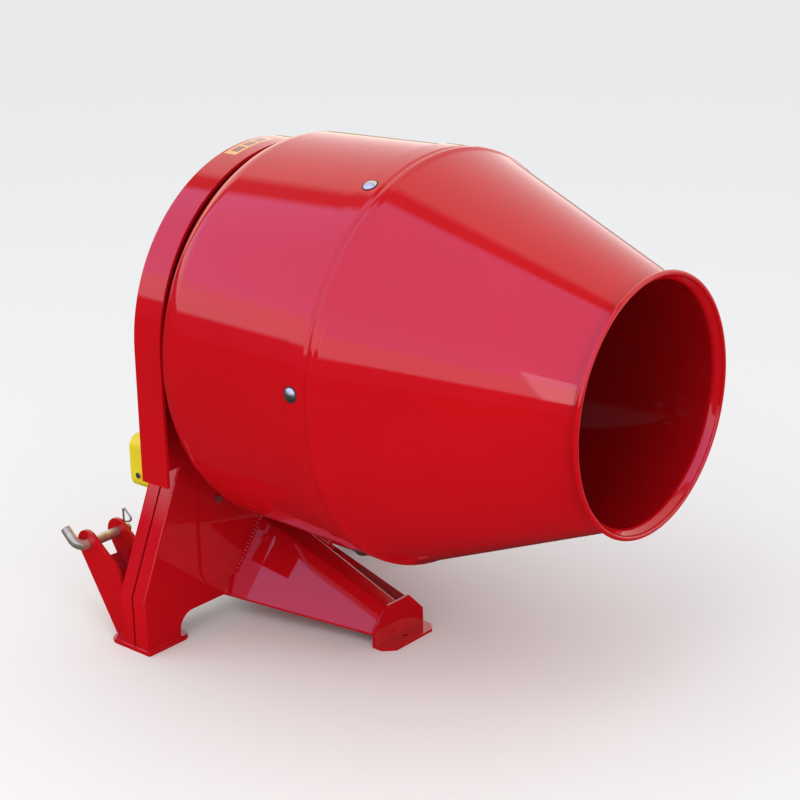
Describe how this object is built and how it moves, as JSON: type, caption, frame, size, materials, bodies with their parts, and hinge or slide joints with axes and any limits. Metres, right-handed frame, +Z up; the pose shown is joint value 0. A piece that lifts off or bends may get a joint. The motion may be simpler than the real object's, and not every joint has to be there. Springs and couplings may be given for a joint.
{
  "type": "tractor-mounted drum concrete mixer",
  "caption": "Horizontal-drum concrete mixer on a three-point tractor hitch: flared steel drum, gear cover, folded box frame on feet, clevis pins and a guarded drive stub.",
  "frame": {"origin": "on the ground, below the middle of the machine's bounding box", "axes": "+X towards the drum's mouth along the drum's axis, +Z up, +Y towards the side away from the guarded drive stub"},
  "size_m": [1.231, 0.8606, 1.0839],
  "materials": {
    "red_paint": "gloss",
    "inner_red": "satin",
    "zinc_yellow": "zinc plated, yellow passivated",
    "clip_wire": "zinc plated wire",
    "zinc_bolt": "bright zinc",
    "bright_steel": "machined",
    "cast_iron": "greased casting",
    "guard_plastic": "semi-gloss"
  },
  "bodies": {
    "frame": {"frame_front_plate": "red_paint", "frame_rear_plate": "red_paint", "frame_doubler": "red_paint", "rear_foot_left": "red_paint", "rear_foot_right": "red_paint", "hitch_ear_outer_left": "red_paint", "hitch_ear_outer_right": "red_paint", "hitch_ear_inner_left": "red_paint", "hitch_ear_inner_right": "red_paint", "hitch_bridge_left": "red_paint", "hitch_bridge_right": "red_paint", "top_link_ear_left": "red_paint", "top_link_ear_right": "red_paint", "front_leg": "red_paint", "leg_bottom_plate": "red_paint", "front_foot": "red_paint", "gear_cover_rim": "red_paint", "gear_cover_back": "red_paint", "cover_bolts": "zinc_bolt", "drum_bearing_front": "cast_iron", "drum_bearing_rear": "cast_iron", "drum_bearing_balls": "bright_steel", "drum_bearing_bolts": "zinc_bolt", "pto_bearing_front": "cast_iron", "pto_bearing_rear": "cast_iron", "pto_bearing_balls": "bright_steel", "pto_bearing_bolts": "zinc_bolt", "pto_guard": "guard_plastic", "guard_screws": "zinc_bolt"},
    "drum": {"drum_rear_shell": "red_paint", "drum_front_shell": "red_paint", "mouth_rim": "red_paint", "seam_bolts": "zinc_bolt", "seam_nuts": "zinc_bolt", "paddle_a": "inner_red", "paddle_b": "inner_red", "paddle_c": "inner_red", "hub_plate": "red_paint", "hub_bolts": "zinc_bolt", "drum_shaft": "bright_steel", "shaft_collar": "bright_steel", "drum_race_front": "bright_steel", "drum_race_rear": "bright_steel", "ring_gear": "cast_iron", "ring_gear_bolts": "zinc_bolt"},
    "input_shaft": {"pto_shaft": "bright_steel", "pinion": "cast_iron", "pinion_key": "bright_steel", "pinion_end_bolt": "zinc_bolt", "pto_race_front": "bright_steel", "pto_race_rear": "bright_steel"},
    "lower_pin_left": {"lower_pin_left": "zinc_yellow"},
    "lower_pin_right": {"lower_pin_right": "zinc_yellow"},
    "top_link_pin": {"top_link_pin": "zinc_yellow"},
    "clip_left": {"clip_left": "clip_wire"},
    "clip_right": {"clip_right": "clip_wire"},
    "clip_top": {"clip_top": "clip_wire"}
  },
  "joints": [
    {"name": "drum_spin", "type": "hinge", "parent": "frame", "child": "drum", "pos_m": [0.1225, 0, 0.658], "axis": [1, 0, 0], "continuous": true},
    {"name": "input_shaft_spin", "type": "hinge", "parent": "frame", "child": "input_shaft", "pos_m": [-0.4475, -0.15, 0.33074], "axis": [1, 0, 0], "continuous": true},
    {"name": "lower_pin_left_turn", "type": "hinge", "parent": "frame", "child": "lower_pin_left", "pos_m": [-0.5675, -0.3415, 0.2], "axis": [0, 1, 0], "continuous": true},
    {"name": "lower_pin_right_turn", "type": "hinge", "parent": "frame", "child": "lower_pin_right", "pos_m": [-0.5675, 0.3415, 0.2], "axis": [0, 1, 0], "continuous": true},
    {"name": "top_link_pin_turn", "type": "hinge", "parent": "frame", "child": "top_link_pin", "pos_m": [-0.5275, 0, 0.66], "axis": [0, 1, 0], "continuous": true},
    {"name": "clip_left_pull", "type": "slide", "parent": "lower_pin_left", "child": "clip_left", "axis": [0, 0, 1], "range_m": [0, 0.05]},
    {"name": "clip_right_pull", "type": "slide", "parent": "lower_pin_right", "child": "clip_right", "axis": [0, 0, 1], "range_m": [0, 0.05]},
    {"name": "clip_top_pull", "type": "slide", "parent": "top_link_pin", "child": "clip_top", "axis": [0, 0, 1], "range_m": [0, 0.05]}
  ],
  "couplings": [
    {"joint": "input_shaft_spin", "follows": "drum_spin", "ratio": -9}
  ]
}
